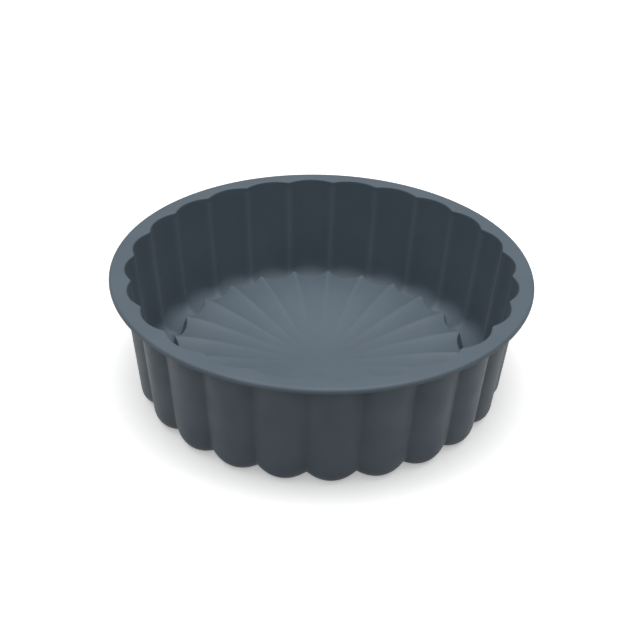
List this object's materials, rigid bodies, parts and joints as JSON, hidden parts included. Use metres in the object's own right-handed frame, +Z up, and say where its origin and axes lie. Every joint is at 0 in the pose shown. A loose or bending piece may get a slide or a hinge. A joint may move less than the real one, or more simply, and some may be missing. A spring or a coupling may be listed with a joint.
{
  "type": "deep fluted silicone cake pan",
  "caption": "Deep round fluted baking pan with a wide flat rim, rounded finger ends round the bottom and a raised pleated centre.",
  "frame": {"origin": "on the pan's axis, on the surface that it stands on", "axes": "+Z up along the pan's axis through the open top, +X through the middle of a flute"},
  "size_m": [0.236, 0.236, 0.071],
  "materials": {
    "silicone": "matte"
  },
  "bodies": {
    "root": {"rim_flange": "silicone", "fluted_wall": "silicone", "finger_ends": "silicone", "channel_floor": "silicone", "centre_step": "silicone", "pleated_centre": "silicone"}
  },
  "joints": []
}
